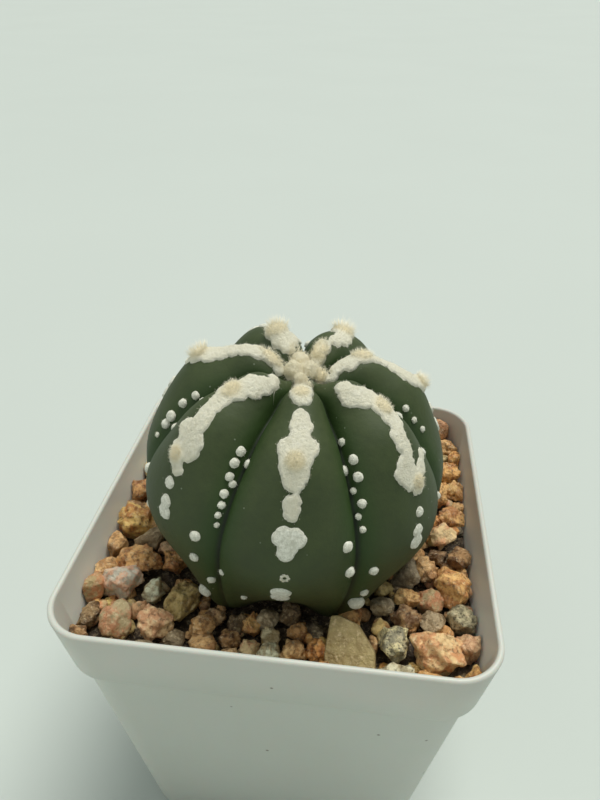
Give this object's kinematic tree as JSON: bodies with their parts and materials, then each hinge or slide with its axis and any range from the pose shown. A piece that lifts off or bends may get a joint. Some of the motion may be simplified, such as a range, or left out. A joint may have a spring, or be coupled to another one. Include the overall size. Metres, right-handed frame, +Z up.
{
  "type": "potted sand dollar cactus",
  "caption": "Spineless round cactus with ribs, white flecks and a woolly crown, in a square plastic pot with a gravel top dressing.",
  "frame": {"origin": "middle of the pot's flat base", "axes": "+Z up, -Y towards the rib that faces the viewer, +X to the viewer's right"},
  "size_m": [0.08, 0.08, 0.1126],
  "materials": {
    "pot": "smooth white plastic with a soft sheen",
    "potting_mix": "dark gritty mineral mix",
    "gravel": "dry crushed gravel in brown, golden, pink and grey",
    "cactus_skin": "dark green waxy skin with white flecks",
    "wool": "cream felt of fine hairs"
  },
  "bodies": {
    "root": {"pot": "pot", "potting_mix": "potting_mix", "gravel": "gravel", "cactus_body": "cactus_skin", "crown_wool": "wool"}
  },
  "joints": []
}
